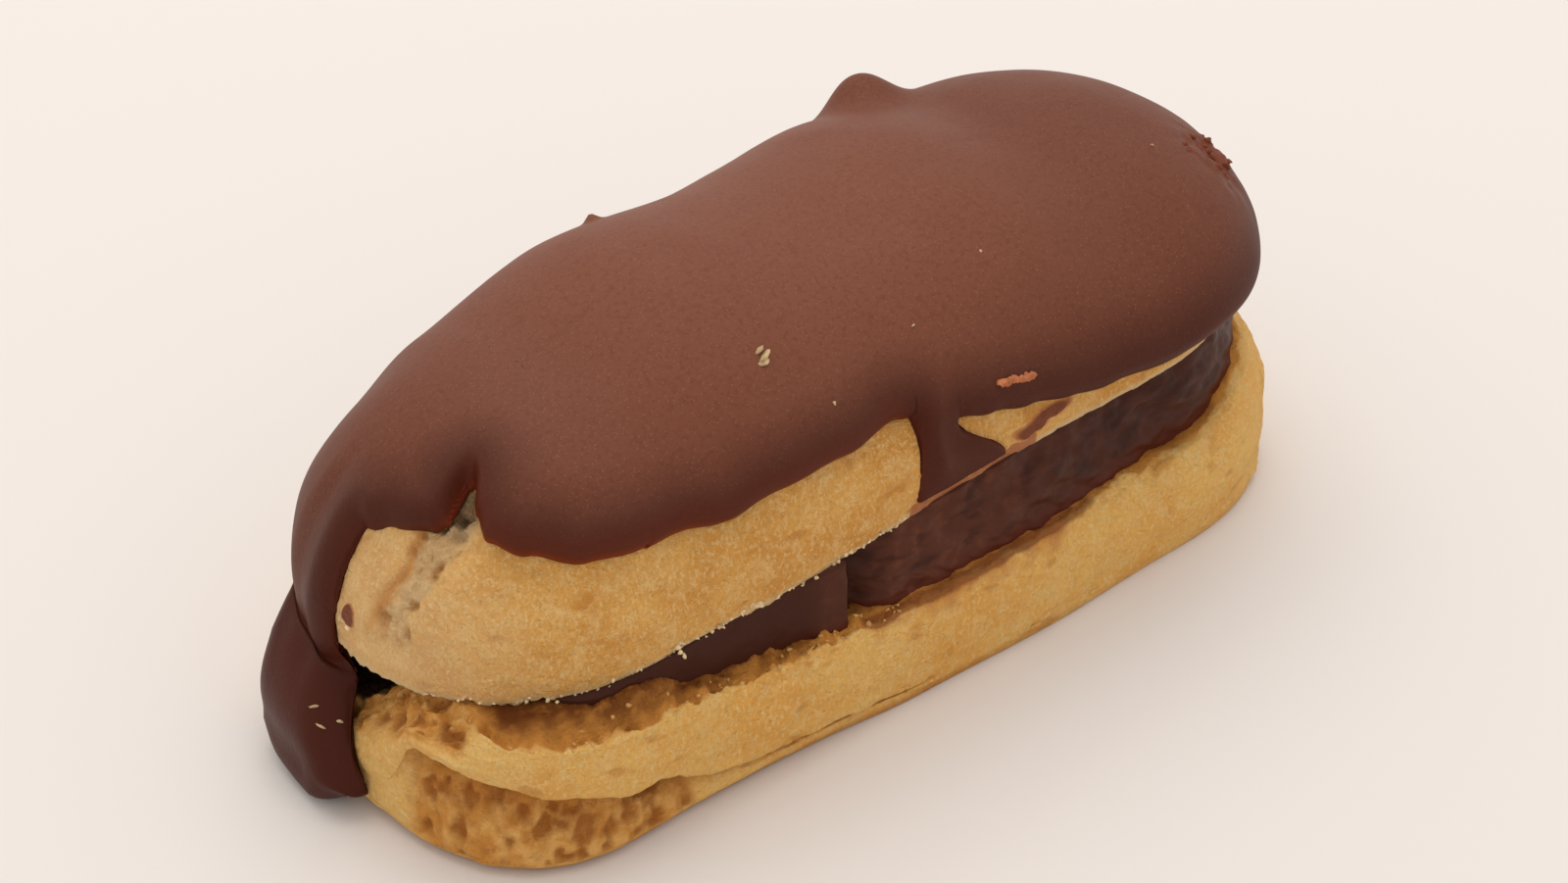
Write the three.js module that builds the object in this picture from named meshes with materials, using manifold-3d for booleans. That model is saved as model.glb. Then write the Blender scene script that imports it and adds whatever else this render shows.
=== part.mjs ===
// A small chocolate eclair: a choux finger sliced through its middle, filled with chocolate pastry
// cream, and topped with a poured chocolate icing that has run down the left end to the table.
//
// Millimetres, +Z up, +X along the eclair towards its blunter end. It rests on its flat base.
// Four pieces: pastry_bottom, cream, pastry_top and icing. Each is a stack of rings, and every
// ring goes once round the same stadium-like plan: near side, right end, far side, left end.

import * as THREE from 'three';
import { mergeVertices } from 'three/addons/utils/BufferGeometryUtils.js';
import Module from 'manifold-3d';

// ---- Driving dimensions -------------------------------------------------------------------

const GAP = 0.3; // air kept between pieces that touch

const SHELL_STEPS = { side: 16, end: 20 }; // ring points along each side and round each end
const ICING_STEPS = { side: 26, end: 28 };
const SIDE_TURN = 0.29; // share of one turn that each straight side takes

// Lower half of the shell. The five half-widths are spaced evenly from the left to the right.
const BASE = {
  ridge: 21.2, // half the length of the straight middle
  left: 11.9, // reach of the left end past the ridge
  right: 16.2, // reach of the right end
  roundness: 2.6, // 2 is an elliptical end, more is squarer
  near: [14.4, 14.6, 14.7, 15.0, 14.6],
  far: [14.2, 14.3, 14.3, 14.9, 14.9],
  x: 0,
  y: 0,
};
// Height of the crust's upper edge, evenly spaced along the ridge, and what each end adds.
const CRUST_TOP = [8.9, 7.9, 7.4, 7.4, 7.3];
const CRUST_LIFT = { left: 1.1, right: 2.9 };
const LEAN = { near: 0.3, right: 1.4, left: 2.3 }; // how far the upper edge leans in
const LEFT_SLOPE = { from: 3.8, to: 9.5 }; // heights between which the left end leans in
// The left end is torn away under the cap, beside the run of icing.
const POCKET = { start: 0.86, end: 0.889, blend: 0.014, depth: 4.0 };
const CORNER = { start: 0.9, end: 0.93, blend: 0.025, lean: 1.6 }; // and its near corner slopes
// The dough split above its foot near the left end, and the crust overhangs the opening.
const SPLIT = { start: 0.922, end: 1.012, blend: 0.012, depth: 1.6 };
const UNDERCUT = { start: 0.02, end: 0.09, blend: 0.05, depth: 0.9 };
const FOOT = { left: 1.1, right: 0.2, rise: 0.9 };
const FOOT_TUCK = { start: 0.86, end: 1.05, blend: 0.08 }; // where the foot tucks in as at the left
const BAND_LOW = [
  // [turn, height of the band's lower edge]
  [0.0, 4.4], [0.03, 2.5], [0.055, 1.9], [0.1, 1.5], [0.16, 0.9], [0.5, 0.9], [0.78, 0.9],
  [0.88, 1.2], [0.905, 4.0], [0.918, 8.0], [0.945, 6.9], [0.972, 5.7],
];
const FOOT_ROW = 1; // rows of the side profile that hold the foot and the crust's upper edge
const CRUST_ROW = 9;
const LEDGE = { width: 1.2, drop: 0.1, clear: 1.2 }; // crumb inside the crust, under the filling
const SPINE_DROP = 0.3; // the crumb sinks a little towards the middle

// Upper half of the shell: a dome over a cut plane that climbs to the right.
const CAP = {
  ridge: 19.9,
  left: 13.2,
  right: 14.3,
  roundness: 2.1,
  near: [13.2, 13.8, 13.7, 13.8, 14.3],
  far: [12.3, 14.1, 14.1, 14.5, 14.8],
  crown: [12.4, 14.4, 13.1, 12.6, 10.3], // dome height above the cut
  x: 1.2,
  y: 1.1,
};
const CUT_HEIGHT = 12.7; // cut plane of the cap at the middle
const CUT_TILT = THREE.MathUtils.degToRad(4.8);
const DOME_POWER = 2.15; // 2 is an elliptical section, more is boxier
const DOME_SHOULDER = 0.16; // swelling of the section between the cut and the ridge
const DOME_ROWS = [3, 9, 16, 24, 33, 43, 54, 66, 79, 90]; // degrees up the dome
const CAP_EDGE = 0.6; // rounding of the cap's cut edge

// Hills and hollows of the iced top.
const SWELLS = [
  // [turn, angle up the dome, width in turns, spread in degrees, push]
  [0.818, 38, 0.024, 20, -0.6],
  [0.772, 46, 0.045, 25, 0.65],
  [0.685, 52, 0.03, 25, -0.15],
  [0.57, 46, 0.03, 22, 0.25],
  [0.865, 25, 0.03, 25, -0.35],
  [0.13, 35, 0.03, 25, -0.3],
  [0.963, 56, 0.02, 13, 0.5], // bulge beside the notch
  [0.93, 57, 0.02, 10, -0.35], // valley above the notch
];

// Filling. It stands back from the edge at the left and swells out past mid-length.
const CREAM_INSET = { back: 1.5, forward: 0.75, step: -0.13, blend: 0.05, leftEnd: 3.0 };
const CREAM_BULGE = 0.45;
const CREAM_TILT = 0.7; // how much further in its upper edge stands, past the step

// Icing: how far it stands off the pastry, and how far down it comes at places round the plan.
const ICING = { thickness: 1.5, bead: 0.35, buried: 2 };
const BEAD_ROWS = [
  // [share of the way from the ridge to the rim, share of the beaded thickness]
  [1, 0.5], [0.985, 0.85], [0.95, 1], [0.89, 0.94],
];
const INSIDE_ROWS = [0, 0.5, 1];
const OUTSIDE_ROWS = [0.78, 0.64, 0.5, 0.36, 0.24, 0.12, 0];
const RIM = [
  // [turn, angle of the dome down to which the icing covers it, in degrees]
  [0.0, 32], [0.05, 25.5], [0.1, 25], [0.128, 28],
  [0.142, 3.5], [0.157, 3.5], // drip that reaches the cut
  [0.1655, 20], [0.18, 18], [0.2, 14.5], [0.225, 11], [0.25, 9], [0.29, 6.5],
  [0.33, 4], [0.36, 4], [0.44, 9], [0.5, 14], [0.56, 9], [0.63, 16], [0.7, 10], [0.77, 14],
  [0.84, 6], [0.882, 5], // the run leaves here
  [0.893, 38], [0.922, 45], [0.932, 59], [0.944, 45], [0.96, 40], // bare end with its notch
];

// The run: a thick tongue of icing from the rim at the left end down to the table.
// height, centre x and y, radius along x and y
const RUN = [
  [0.0, -32.6, 3.2, 2.3, 5.7],
  [0.5, -32.6, 3.2, 2.7, 6.1],
  [1.6, -32.6, 3.3, 2.9, 6.2],
  [3.2, -32.6, 3.6, 2.8, 6.0],
  [5.2, -32.4, 4.1, 2.7, 5.5],
  [7.6, -31.8, 4.8, 2.3, 4.8],
  [10.0, -31.2, 5.4, 2.2, 4.4],
  [12.6, -30.4, 5.6, 2.0, 4.2],
  [15.0, -29.3, 5.6, 1.2, 3.0],
];
const RUN_SIDES = 24;

// The nub: a small rounded tail that the icing left standing on the far edge.
const NUB = { x: 18.0, y: 12.7, z: 22.9, radius: 2.7, height: 3.0, lean: 20, sides: 16, rows: 9 };

// ---- Small helpers ------------------------------------------------------------------------

const { abs, sin, cos, tan, sign, exp, PI, min, max } = Math;
const { lerp, smoothstep } = THREE.MathUtils;

function signedPower(value, power) {
  return sign(value) * abs(value) ** power;
}

// Smooth curve through values spaced evenly from -1 to 1, level at both ends so that the
// rounded ends carry on from it without a crease.
function along(values, place) {
  const steps = values.length - 1;
  const t = THREE.MathUtils.clamp((place + 1) / 2, 0, 1) * steps;
  const i = Math.min(Math.floor(t), steps - 1);
  const f = t - i;
  const at = (j) => values[THREE.MathUtils.clamp(j, 0, steps)];
  const m0 = i === 0 ? 0 : (at(i + 1) - at(i - 1)) / 2;
  const m1 = i === steps - 1 ? 0 : (at(i + 2) - at(i)) / 2;
  return (
    (2 * f ** 3 - 3 * f ** 2 + 1) * at(i) +
    (f ** 3 - 2 * f ** 2 + f) * m0 +
    (3 * f ** 2 - 2 * f ** 3) * at(i + 1) +
    (f ** 3 - f ** 2) * m1
  );
}

// Signed distance between two places on the closed turn from 0 to 1.
function turnAway(turn, middle) {
  return ((turn - middle + 1.5) % 1) - 0.5;
}

function hill(distance, width) {
  return exp(-((distance / width) ** 2));
}

// 1 from start to end on the closed turn, eased over blend outside them.
function between(turn, { start, end, blend }) {
  const half = (end - start) / 2;
  return 1 - smoothstep(abs(turnAway(turn, (start + end) / 2)), half, half + blend);
}

// Eased steps between knots on the closed turn from 0 to 1.
function roundKnots(knots, turn) {
  const last = knots[knots.length - 1];
  const ring = [...knots, [knots[0][0] + 1, knots[0][1]]];
  const place = turn < knots[0][0] ? turn + 1 : turn;
  if (place < knots[0][0]) return last[1];
  const i = ring.findIndex((knot, k) => k > 0 && place <= knot[0]);
  const [t0, v0] = ring[i - 1];
  const [t1, v1] = ring[i];
  return v0 + (v1 - v0) * smoothstep(place, t0, t1);
}

// ---- The plan -----------------------------------------------------------------------------

// One entry for each ring point: its place round the plan, its place along the ridge and the
// direction in which it faces.
function makeStations(steps) {
  const list = [];
  const endTurn = 0.5 - SIDE_TURN;
  const add = (turn, ridge, degrees) => {
    const angle = THREE.MathUtils.degToRad(degrees);
    list.push({ turn, ridge, nx: cos(angle), ny: sin(angle) });
  };
  for (const half of [0, 1]) {
    const facing = half === 0 ? 1 : -1;
    for (let i = 0; i < steps.side; i++) {
      const f = i / steps.side;
      add(half / 2 + f * SIDE_TURN, facing * (2 * f - 1), -90 + 180 * half);
    }
    for (let i = 0; i < steps.end; i++) {
      const f = i / steps.end;
      add(half / 2 + SIDE_TURN + f * endTurn, facing, -90 + 180 * (half + f));
    }
  }
  return list;
}
const SHELL_STATIONS = makeStations(SHELL_STEPS);
const ICING_STATIONS = makeStations(ICING_STEPS);

// Plan point of a body at one station; size is 0 on the ridge line and 1 on the full outline.
function planPoint(body, station, size, grow) {
  const power = 2 / body.roundness;
  const reach = (station.nx < 0 ? body.left : body.right) + grow;
  const near = along(body.near, station.ridge) + grow;
  const far = along(body.far, station.ridge) + grow;
  const width = (near + far) / 2 + ((far - near) / 2) * station.ny;
  return [
    body.x + station.ridge * body.ridge + signedPower(station.nx, power) * reach * size,
    body.y + signedPower(station.ny, power) * width * size,
  ];
}

function cutPlane(x) {
  return CUT_HEIGHT + tan(CUT_TILT) * x;
}

// Point of the cap's dome; the angle is 0 at the cut and 90 degrees on the ridge.
function domePoint(station, angle, grow) {
  const radians = THREE.MathUtils.degToRad(angle);
  const rise = sin(radians) ** (2 / DOME_POWER);
  const size = max(cos(radians), 0) ** (2 / DOME_POWER) * (1 + DOME_SHOULDER * rise * (1 - rise));
  const onRidge = size < 1e-3;
  const fade = onRidge ? 0 : cos(radians);
  let [x, y] = planPoint(CAP, station, onRidge ? 0 : size, grow);
  let z = cutPlane(x) + (along(CAP.crown, station.ridge) + grow) * rise;
  for (const [turn, up, width, spread, amount] of SWELLS) {
    const push = amount * hill(turnAway(station.turn, turn), width) * hill(angle - up, spread);
    x += push * station.nx * fade;
    y += push * station.ny * fade;
    z += push * sin(radians) * min(1, fade * 4);
  }
  return [x, y, z];
}

// ---- Solids from rings --------------------------------------------------------------------

// Rings run from the bottom up. The first and the last lie on a ridge line or a point, so the
// skin closes there once points that coincide are merged.
function skin(rings) {
  const count = rings[0].length;
  const geometry = new THREE.BufferGeometry();
  const index = [];
  for (let r = 0; r + 1 < rings.length; r++) {
    for (let s = 0; s < count; s++) {
      const next = (s + 1) % count;
      const a = r * count + s;
      const b = r * count + next;
      const c = (r + 1) * count + next;
      const d = (r + 1) * count + s;
      index.push(a, b, c, a, c, d);
    }
  }
  geometry.setAttribute('position', new THREE.Float32BufferAttribute(rings.flat(2), 3));
  geometry.setIndex(index);
  return withoutSlivers(mergeVertices(geometry, 1e-4));
}

function withoutSlivers(geometry) {
  const kept = [];
  const index = geometry.index.array;
  for (let i = 0; i < index.length; i += 3) {
    const [a, b, c] = [index[i], index[i + 1], index[i + 2]];
    if (a !== b && b !== c && c !== a) kept.push(a, b, c);
  }
  geometry.setIndex(kept);
  return geometry;
}

// ---- The four pieces ----------------------------------------------------------------------

function spineTop(station) {
  return along(CRUST_TOP, station.ridge);
}

// Height that the crust's upper edge would have if the left end weren't torn.
function wholeTop(station) {
  const left = CRUST_LIFT.left * smoothstep(-station.nx, 0.1, 0.95);
  const right = CRUST_LIFT.right * smoothstep(station.nx, 0.1, 0.95);
  return spineTop(station) + left + right;
}

function topInset(station) {
  const right = 0.75 * smoothstep(station.ridge, 0, 1) + 0.25 * smoothstep(station.nx, 0, 0.7);
  return LEAN.near + LEAN.right * right + CORNER.lean * between(station.turn, CORNER);
}

function leftLean(height) {
  return LEAN.left * smoothstep(height, LEFT_SLOPE.from, LEFT_SLOPE.to);
}

// Side profile of the base at one station: share of the outline, inset and height, from the
// middle of the underside, round the foot, past the split and up to the crumb.
function baseProfile(station) {
  const { turn } = station;
  const split = SPLIT.depth * between(turn, SPLIT);
  const undercut = UNDERCUT.depth * between(turn, UNDERCUT);
  const recess = split + undercut;
  const foot = lerp(FOOT.right, FOOT.left, between(turn, FOOT_TUCK));
  const lip = roundKnots(BAND_LOW, turn);
  const [edgeX] = planPoint(BASE, station, 1, -topInset(station));
  const torn = wholeTop(station) - POCKET.depth * between(turn, POCKET);
  const top = min(torn, cutPlane(edgeX) - GAP);
  const crumb = min(torn - LEDGE.drop, cutPlane(edgeX) - LEDGE.clear);
  const band = top - lip;
  const lean = topInset(station);
  const side = [
    [foot, 0],
    [foot * 0.4, 0.3],
    [0.1 + 0.5 * recess, FOOT.rise + 0.5 * (lip - FOOT.rise)],
    [0.1 + recess, max(lip - 0.25, FOOT.rise)],
    [0.2 * recess, lip + 0.1],
    [-0.05, lip + 0.35 * band],
    [0.1 * lean, lip + 0.68 * band],
    [0.5 * lean, lip + 0.88 * band],
    [lean, top],
    [lean + LEDGE.width, crumb],
  ];
  const bent = side.map(([inset, height]) => {
    const lower = leftLean(height) * between(turn, { start: 0.84, end: 0.895, blend: 0.02 });
    return [1, inset + lower, height];
  });
  return [[0, 0, 0], ...bent, [0, 0, spineTop(station) - SPINE_DROP]];
}

// Growing the base for a cut moves its underside down and its crumb up.
function baseRings(grow) {
  const profiles = SHELL_STATIONS.map(baseProfile);
  const rows = profiles[0].length;
  return Array.from({ length: rows }, (_, row) =>
    SHELL_STATIONS.map((station, s) => {
      const [share, inset, height] = profiles[s][row];
      const [x, y] = planPoint(BASE, station, share, share > 0 ? grow - inset : 0);
      if (row <= FOOT_ROW) return [x, y, height - grow];
      return [x, y, row >= CRUST_ROW ? height + grow : height];
    }),
  );
}

function capRings(grow) {
  const under = (size) =>
    SHELL_STATIONS.map((station) => {
      const [x, y] = planPoint(CAP, station, size, size > 0 ? grow : 0);
      return [x, y, cutPlane(x) - grow];
    });
  const edge = 1 - CAP_EDGE / CAP.left;
  const skinRows = DOME_ROWS.map((angle) => SHELL_STATIONS.map((station) => domePoint(station, angle, grow)));
  return [under(0), under(edge), ...skinRows];
}

function creamRings(grow) {
  const rows = [0, 0, 0.25, 0.5, 0.75, 1, 1];
  const { back, forward, step, blend, leftEnd } = CREAM_INSET;
  return rows.map((rise, row) =>
    SHELL_STATIONS.map((station) => {
      const ridgeRow = row === 0 || row === rows.length - 1;
      const swell = smoothstep(station.ridge, step - blend, step + blend);
      const low = topInset(station) + lerp(back, forward, swell);
      const tilt = swell * (CREAM_TILT * rise - CREAM_BULGE * sin(PI * rise));
      const inset = low + leftEnd * smoothstep(-station.nx, 0.1, 0.8) + tilt;
      const [x, y] = planPoint(BASE, station, ridgeRow ? 0 : 1, ridgeRow ? 0 : grow - inset);
      const [edgeX] = planPoint(BASE, station, 1, -topInset(station));
      const crumb = min(wholeTop(station), cutPlane(edgeX) - LEDGE.clear + LEDGE.drop);
      const floor = (ridgeRow ? spineTop(station) - SPINE_DROP : crumb) + GAP - grow;
      const roof = cutPlane(x) - GAP + grow;
      return [x, y, lerp(floor, roof, rise)];
    }),
  );
}

// The icing before the cap is cut out of it: down inside the cap, round the rim, up outside.
function icingRings() {
  const row = (share, standoff) =>
    ICING_STATIONS.map((station) => {
      const rim = roundKnots(RIM, station.turn);
      return domePoint(station, 90 - share * (90 - rim), standoff);
    });
  const { thickness, bead, buried } = ICING;
  const inside = INSIDE_ROWS.map((share) => row(share, -buried));
  const rim = BEAD_ROWS.map(([share, part]) => row(share, part * (thickness + bead)));
  const outside = OUTSIDE_ROWS.map((share) => row(share, thickness));
  return [...inside, ...rim, ...outside];
}

function runRings() {
  const tip = ([height, x, y]) => Array(RUN_SIDES).fill([x, y, height]);
  const ring = ([height, x, y, radiusX, radiusY]) =>
    Array.from({ length: RUN_SIDES }, (_, i) => {
      const angle = (2 * PI * i) / RUN_SIDES;
      return [x + radiusX * cos(angle), y + radiusY * sin(angle), height];
    });
  return [tip(RUN[0]), ...RUN.map(ring), tip(RUN[RUN.length - 1])];
}

function nubGeometry() {
  const geometry = new THREE.SphereGeometry(NUB.radius, NUB.sides, NUB.rows);
  geometry.rotateX(PI / 2);
  geometry.scale(1, 1, NUB.height / NUB.radius);
  geometry.rotateX(-THREE.MathUtils.degToRad(NUB.lean));
  geometry.translate(NUB.x, NUB.y, NUB.z);
  geometry.deleteAttribute('normal');
  geometry.deleteAttribute('uv');
  return withoutSlivers(mergeVertices(geometry, 1e-4));
}

// ---- Joining and cutting ------------------------------------------------------------------

const wasm = await Module();
wasm.setup();

function toSolid(geometry) {
  const vertProperties = new Float32Array(geometry.attributes.position.array);
  const triVerts = new Uint32Array(geometry.index.array);
  return new wasm.Manifold(new wasm.Mesh({ numProp: 3, vertProperties, triVerts }));
}

function toGeometry(solid) {
  const { vertProperties, triVerts } = solid.getMesh();
  const geometry = new THREE.BufferGeometry();
  geometry.setAttribute('position', new THREE.Float32BufferAttribute(vertProperties, 3));
  geometry.setIndex([...triVerts]);
  return geometry;
}

// The run and the nub are one piece with the icing. The shell and the filling, grown by the
// gap, are then cut out of it.
function icingGeometry() {
  let solid = toSolid(skin(icingRings()));
  solid = solid.add(toSolid(skin(runRings()))).add(toSolid(nubGeometry()));
  for (const rings of [baseRings(GAP), creamRings(GAP), capRings(GAP)]) {
    solid = solid.subtract(toSolid(skin(rings)));
  }
  return toGeometry(solid);
}

// ---- The eclair ---------------------------------------------------------------------------

function piece(name, geometry, color, roughness) {
  const material = new THREE.MeshStandardMaterial({ color, roughness, metalness: 0 });
  const mesh = new THREE.Mesh(geometry, material);
  mesh.name = name;
  return mesh;
}

// The origin goes to the middle of the whole eclair's underside.
function centred(group) {
  const box = new THREE.Box3().setFromObject(group);
  const middle = box.getCenter(new THREE.Vector3());
  for (const mesh of group.children) {
    mesh.geometry.translate(-middle.x, -middle.y, -box.min.z);
  }
  return group;
}

const eclair = new THREE.Group();
eclair.add(
  piece('pastry_bottom', skin(baseRings(0)), 0xc79b58, 0.85),
  piece('cream', skin(creamRings(0)), 0x4a2b22, 0.45),
  piece('pastry_top', skin(capRings(0)), 0xcfa064, 0.85),
  piece('icing', icingGeometry(), 0x7c4c3c, 0.4),
);

export default centred(eclair);
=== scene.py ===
# %% [markdown]
# # A small chocolate eclair
# A choux finger is sliced through its middle, filled with dark pastry cream and topped with
# poured chocolate icing, which ran down one end before it set. Each of the four main pieces is
# a grid that goes round the same stations and up the piece, row by row. numpy works out the
# whole grid at once, so a shape is a formula and its grain uses the same arrays.

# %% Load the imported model
import math

import bmesh
import bpy
import numpy as np
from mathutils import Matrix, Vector


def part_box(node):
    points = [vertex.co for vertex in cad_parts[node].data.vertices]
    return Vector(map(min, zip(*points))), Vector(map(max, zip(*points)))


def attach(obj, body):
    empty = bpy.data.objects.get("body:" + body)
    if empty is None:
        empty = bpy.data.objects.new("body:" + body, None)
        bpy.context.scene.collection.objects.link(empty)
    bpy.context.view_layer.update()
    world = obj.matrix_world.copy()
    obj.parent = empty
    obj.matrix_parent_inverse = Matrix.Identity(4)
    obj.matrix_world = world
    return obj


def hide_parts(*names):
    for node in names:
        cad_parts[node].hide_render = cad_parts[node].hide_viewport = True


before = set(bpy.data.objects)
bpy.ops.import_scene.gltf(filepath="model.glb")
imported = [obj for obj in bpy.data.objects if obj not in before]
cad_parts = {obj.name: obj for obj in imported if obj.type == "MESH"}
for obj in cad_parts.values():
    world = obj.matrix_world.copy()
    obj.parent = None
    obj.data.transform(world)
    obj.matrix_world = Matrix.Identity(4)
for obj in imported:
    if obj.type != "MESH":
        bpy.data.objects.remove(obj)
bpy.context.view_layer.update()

MM = 0.001

# %% [markdown]
# ## The plan
# Seen from above, both halves of the shell are long ovals: two nearly straight sides and two
# rounded ends. A station is a place on the way round, counted in turns from the left end of the near
# side. It holds its place along the ridge, from -1 to 1, and the direction it faces. The two
# sides hold the same places, so that rows can close on the ridge line. Lengths are in
# millimetres here and become metres when a mesh is made.

# %% Stations round the eclair
SIDE_TURN = 0.29

# Spans of stations: the turn where each starts and how many stations it holds.
SIDE_SPANS = [(0, 118), (0.1365, 36), (0.1445, 12), (0.1565, 36), (0.1645, 108)]
RIGHT_SPANS = [(SIDE_TURN, 140)]
LEFT_SPANS = [(0.5 + SIDE_TURN, 100), (0.88, 64), (0.896, 126)]


def spaced(spans, end):
    """Turns from spans of (start, number of steps), up to but not including the end."""
    starts, counts = zip(*spans)
    parts = zip(starts, (*starts[1:], end), counts)
    return np.concatenate([np.linspace(a, b, n, endpoint=False) for a, b, n in parts])


def station_turns():
    """Turns on the near side, right end, far side and left end; closest by the drip and the run."""
    near = spaced(SIDE_SPANS, SIDE_TURN)
    far = 0.5 + SIDE_TURN - np.append(near[1:], SIDE_TURN)[::-1]
    return np.concatenate([near, spaced(RIGHT_SPANS, 0.5), far, spaced(LEFT_SPANS, 1)])


def facing(turn):
    """Place along the ridge and the facing direction: constant on a side, turning round an end."""
    half = np.floor(turn * 2) % 2
    inside = turn % 0.5
    along = np.minimum(inside / SIDE_TURN, 1) * 2 - 1
    round_end = np.maximum(inside - SIDE_TURN, 0) / (0.5 - SIDE_TURN)
    angle = np.pi * (half + round_end - 0.5)
    return np.where(half == 0, along, -along), np.cos(angle), np.sin(angle)


TURN = station_turns()
print(len(TURN), "stations round the eclair")

# %% [markdown]
# ## Small curves
# A few formulas do all the shaping: an eased step, a rounded bump on the closed turn, a smooth
# curve through evenly spaced values, and eased knots for the wavy edge of the icing.


# %% Curves
def ease(value, low, high):
    """0 below low, 1 above high, and 3t^2 - 2t^3 between."""
    t = np.clip((value - low) / (high - low), 0, 1)
    return t * t * (3 - 2 * t)


def turn_away(turn, middle):
    """Signed distance between two turns, the short way round."""
    return (turn - middle + 0.5) % 1 - 0.5


def bump(distance, width):
    """A rounded hill of height 1: exp(-(distance / width)^2)."""
    return np.exp(-((distance / width) ** 2))


def between(turn, start, end, blend):
    """1 from start to end on the closed turn, eased over blend outside them."""
    middle, half = (start + end) / 2, (end - start) / 2
    return 1 - ease(np.abs(turn_away(turn, middle)), half, half + blend)


def through(values, place):
    """Catmull-Rom curve through values spaced evenly from -1 to 1, level at both ends."""
    values = np.asarray(values, float)
    steps = len(values) - 1
    t = np.clip((place + 1) / 2, 0, 1) * steps
    i = np.minimum(t.astype(int), steps - 1)
    f = t - i
    slopes = np.zeros(len(values))
    slopes[1:-1] = (values[2:] - values[:-2]) / 2
    return (
        (2 * f**3 - 3 * f**2 + 1) * values[i]
        + (f**3 - 2 * f**2 + f) * slopes[i]
        + (3 * f**2 - 2 * f**3) * values[i + 1]
        + (f**3 - f**2) * slopes[i + 1]
    )


def eased_knots(knots, turn):
    """Closed curve through (turn, value) knots, with an eased step from each to the next."""
    at, value = np.array(knots, float).T
    at = np.append(at, at[0] + 1)
    value = np.append(value, value[0])
    i = np.clip(np.searchsorted(at, turn, side="right") - 1, 0, len(at) - 2)
    return value[i] + (value[i + 1] - value[i]) * ease(turn, at[i], at[i + 1])


# %% [markdown]
# ## Grain
# Baked dough is uneven at every size. Two kinds of grain cover it: a soft noise, made by
# blending random values at the corners of a lattice, and pores, from the distance to the
# nearest of a scatter of points. Both are worked out for all points at once.


# %% Noise and pores
def corner_value(cell, seed):
    """A repeatable random number from -1 to 1 for each whole-number cell."""
    i, j, k = (cell[..., a].astype(np.int64) for a in range(3))
    h = (i * 374761393 + j * 668265263 + k * 1274126177 + seed * 974634777) & 0xFFFFFFFF
    h = ((h ^ (h >> 13)) * 1103515245) & 0xFFFFFFFF
    h = ((h ^ (h >> 15)) * 668265263) & 0xFFFFFFFF
    return ((h ^ (h >> 16)) & 0xFFFF) / 32767.5 - 1


def noise(points, size, seed):
    """Smooth noise from -1 to 1 whose hills are about size wide; size may differ along x, y, z."""
    p = points / np.asarray(size, float)
    cell = np.floor(p)
    f = p - cell
    w = f**3 * (f * (6 * f - 15) + 10)
    total = 0
    for corner in np.ndindex(2, 2, 2):
        share = np.prod(np.where(np.array(corner) == 1, w, 1 - w), axis=-1)
        total = total + share * corner_value(cell + np.array(corner), seed)
    return total


def layered(points, size, seed, layers=3):
    """Noise added to itself at half the size and half the height, layers times."""
    size = np.asarray(size, float)
    return sum(0.5**i * noise(points, size / 2**i, seed + i) for i in range(layers))


def pores(points, size, seed):
    """Distance to the nearest scattered point, in units of size."""
    p = points / size
    cell = np.floor(p)
    nearest = np.full(p.shape[:-1], np.inf)
    for offset in np.ndindex(3, 3, 3):
        home = cell + np.array(offset) - 1
        jitter = np.stack([corner_value(home, seed + a) for a in range(3)], -1)
        nearest = np.minimum(nearest, np.linalg.norm(home + 0.5 + 0.45 * jitter - p, axis=-1))
    return nearest


# %% [markdown]
# ## From grid to mesh
# A grid of rows and stations becomes a closed skin. Its first and last rows lie on a ridge
# line, where the two sides meet, so merging the points that coincide closes it. Grain pushes
# the points along the normals of the surface. Masks such as "open crumb" are kept as
# attributes, for the finishes to read.


# %% Mesh helpers
def grid_normals(grid):
    """Unit cross product of the steps round and up the grid; it points out of the piece."""
    around = np.roll(grid, -1, 1) - np.roll(grid, 1, 1)
    upward = np.gradient(grid, axis=0)
    normal = np.cross(around, upward)
    length = np.linalg.norm(normal, axis=-1, keepdims=True)
    return normal / np.maximum(length, 1e-9)


def make_mesh(name, points, faces, masks=None):
    """A mesh object from points in millimetres, with its masks, merged where points coincide."""
    mesh = bpy.data.meshes.new(name)
    mesh.from_pydata((points * MM).tolist(), [], faces.tolist())
    for mask, values in (masks or {}).items():
        layer = mesh.attributes.new(mask, "FLOAT", "POINT")
        layer.data.foreach_set("value", np.ravel(values).astype(np.float32))
    work = bmesh.new()
    work.from_mesh(mesh)
    bmesh.ops.remove_doubles(work, verts=work.verts, dist=1e-7)
    work.to_mesh(mesh)
    work.free()
    mesh.shade_smooth()
    piece = bpy.data.objects.new(name, mesh)
    bpy.context.scene.collection.objects.link(piece)
    return piece


def skin(name, grid, masks=None):
    """Closed skin over a (rows, stations, 3) grid that starts and ends on a ridge line."""
    rows, count = grid.shape[:2]
    r, s = np.meshgrid(np.arange(rows - 1), np.arange(count), indexing="ij")
    n = (s + 1) % count
    faces = np.stack([r * count + s, r * count + n, (r + 1) * count + n, (r + 1) * count + s], -1)
    placed = grid.reshape(-1, 3) + ORIGIN
    return make_mesh(name, placed, faces.reshape(-1, 4), masks)


def finish_piece(piece, material, slot, *nodes):
    """Gives a piece its finish and the root body, and hides its CAD nodes; the slot is not used."""
    piece.data.materials.append(material)
    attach(piece, "root")
    if nodes:
        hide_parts(*nodes)
    print(f"{piece.name}: {len(piece.data.polygons)} faces")


# %% [markdown]
# ## The two halves of the shell
# The lower half is a shallow loaf with steep sides. The upper half is a dome that stands on a
# tilted cut: the filling is thin at the left and thick at the right. A few lengths drive each
# of them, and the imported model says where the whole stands.

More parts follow.
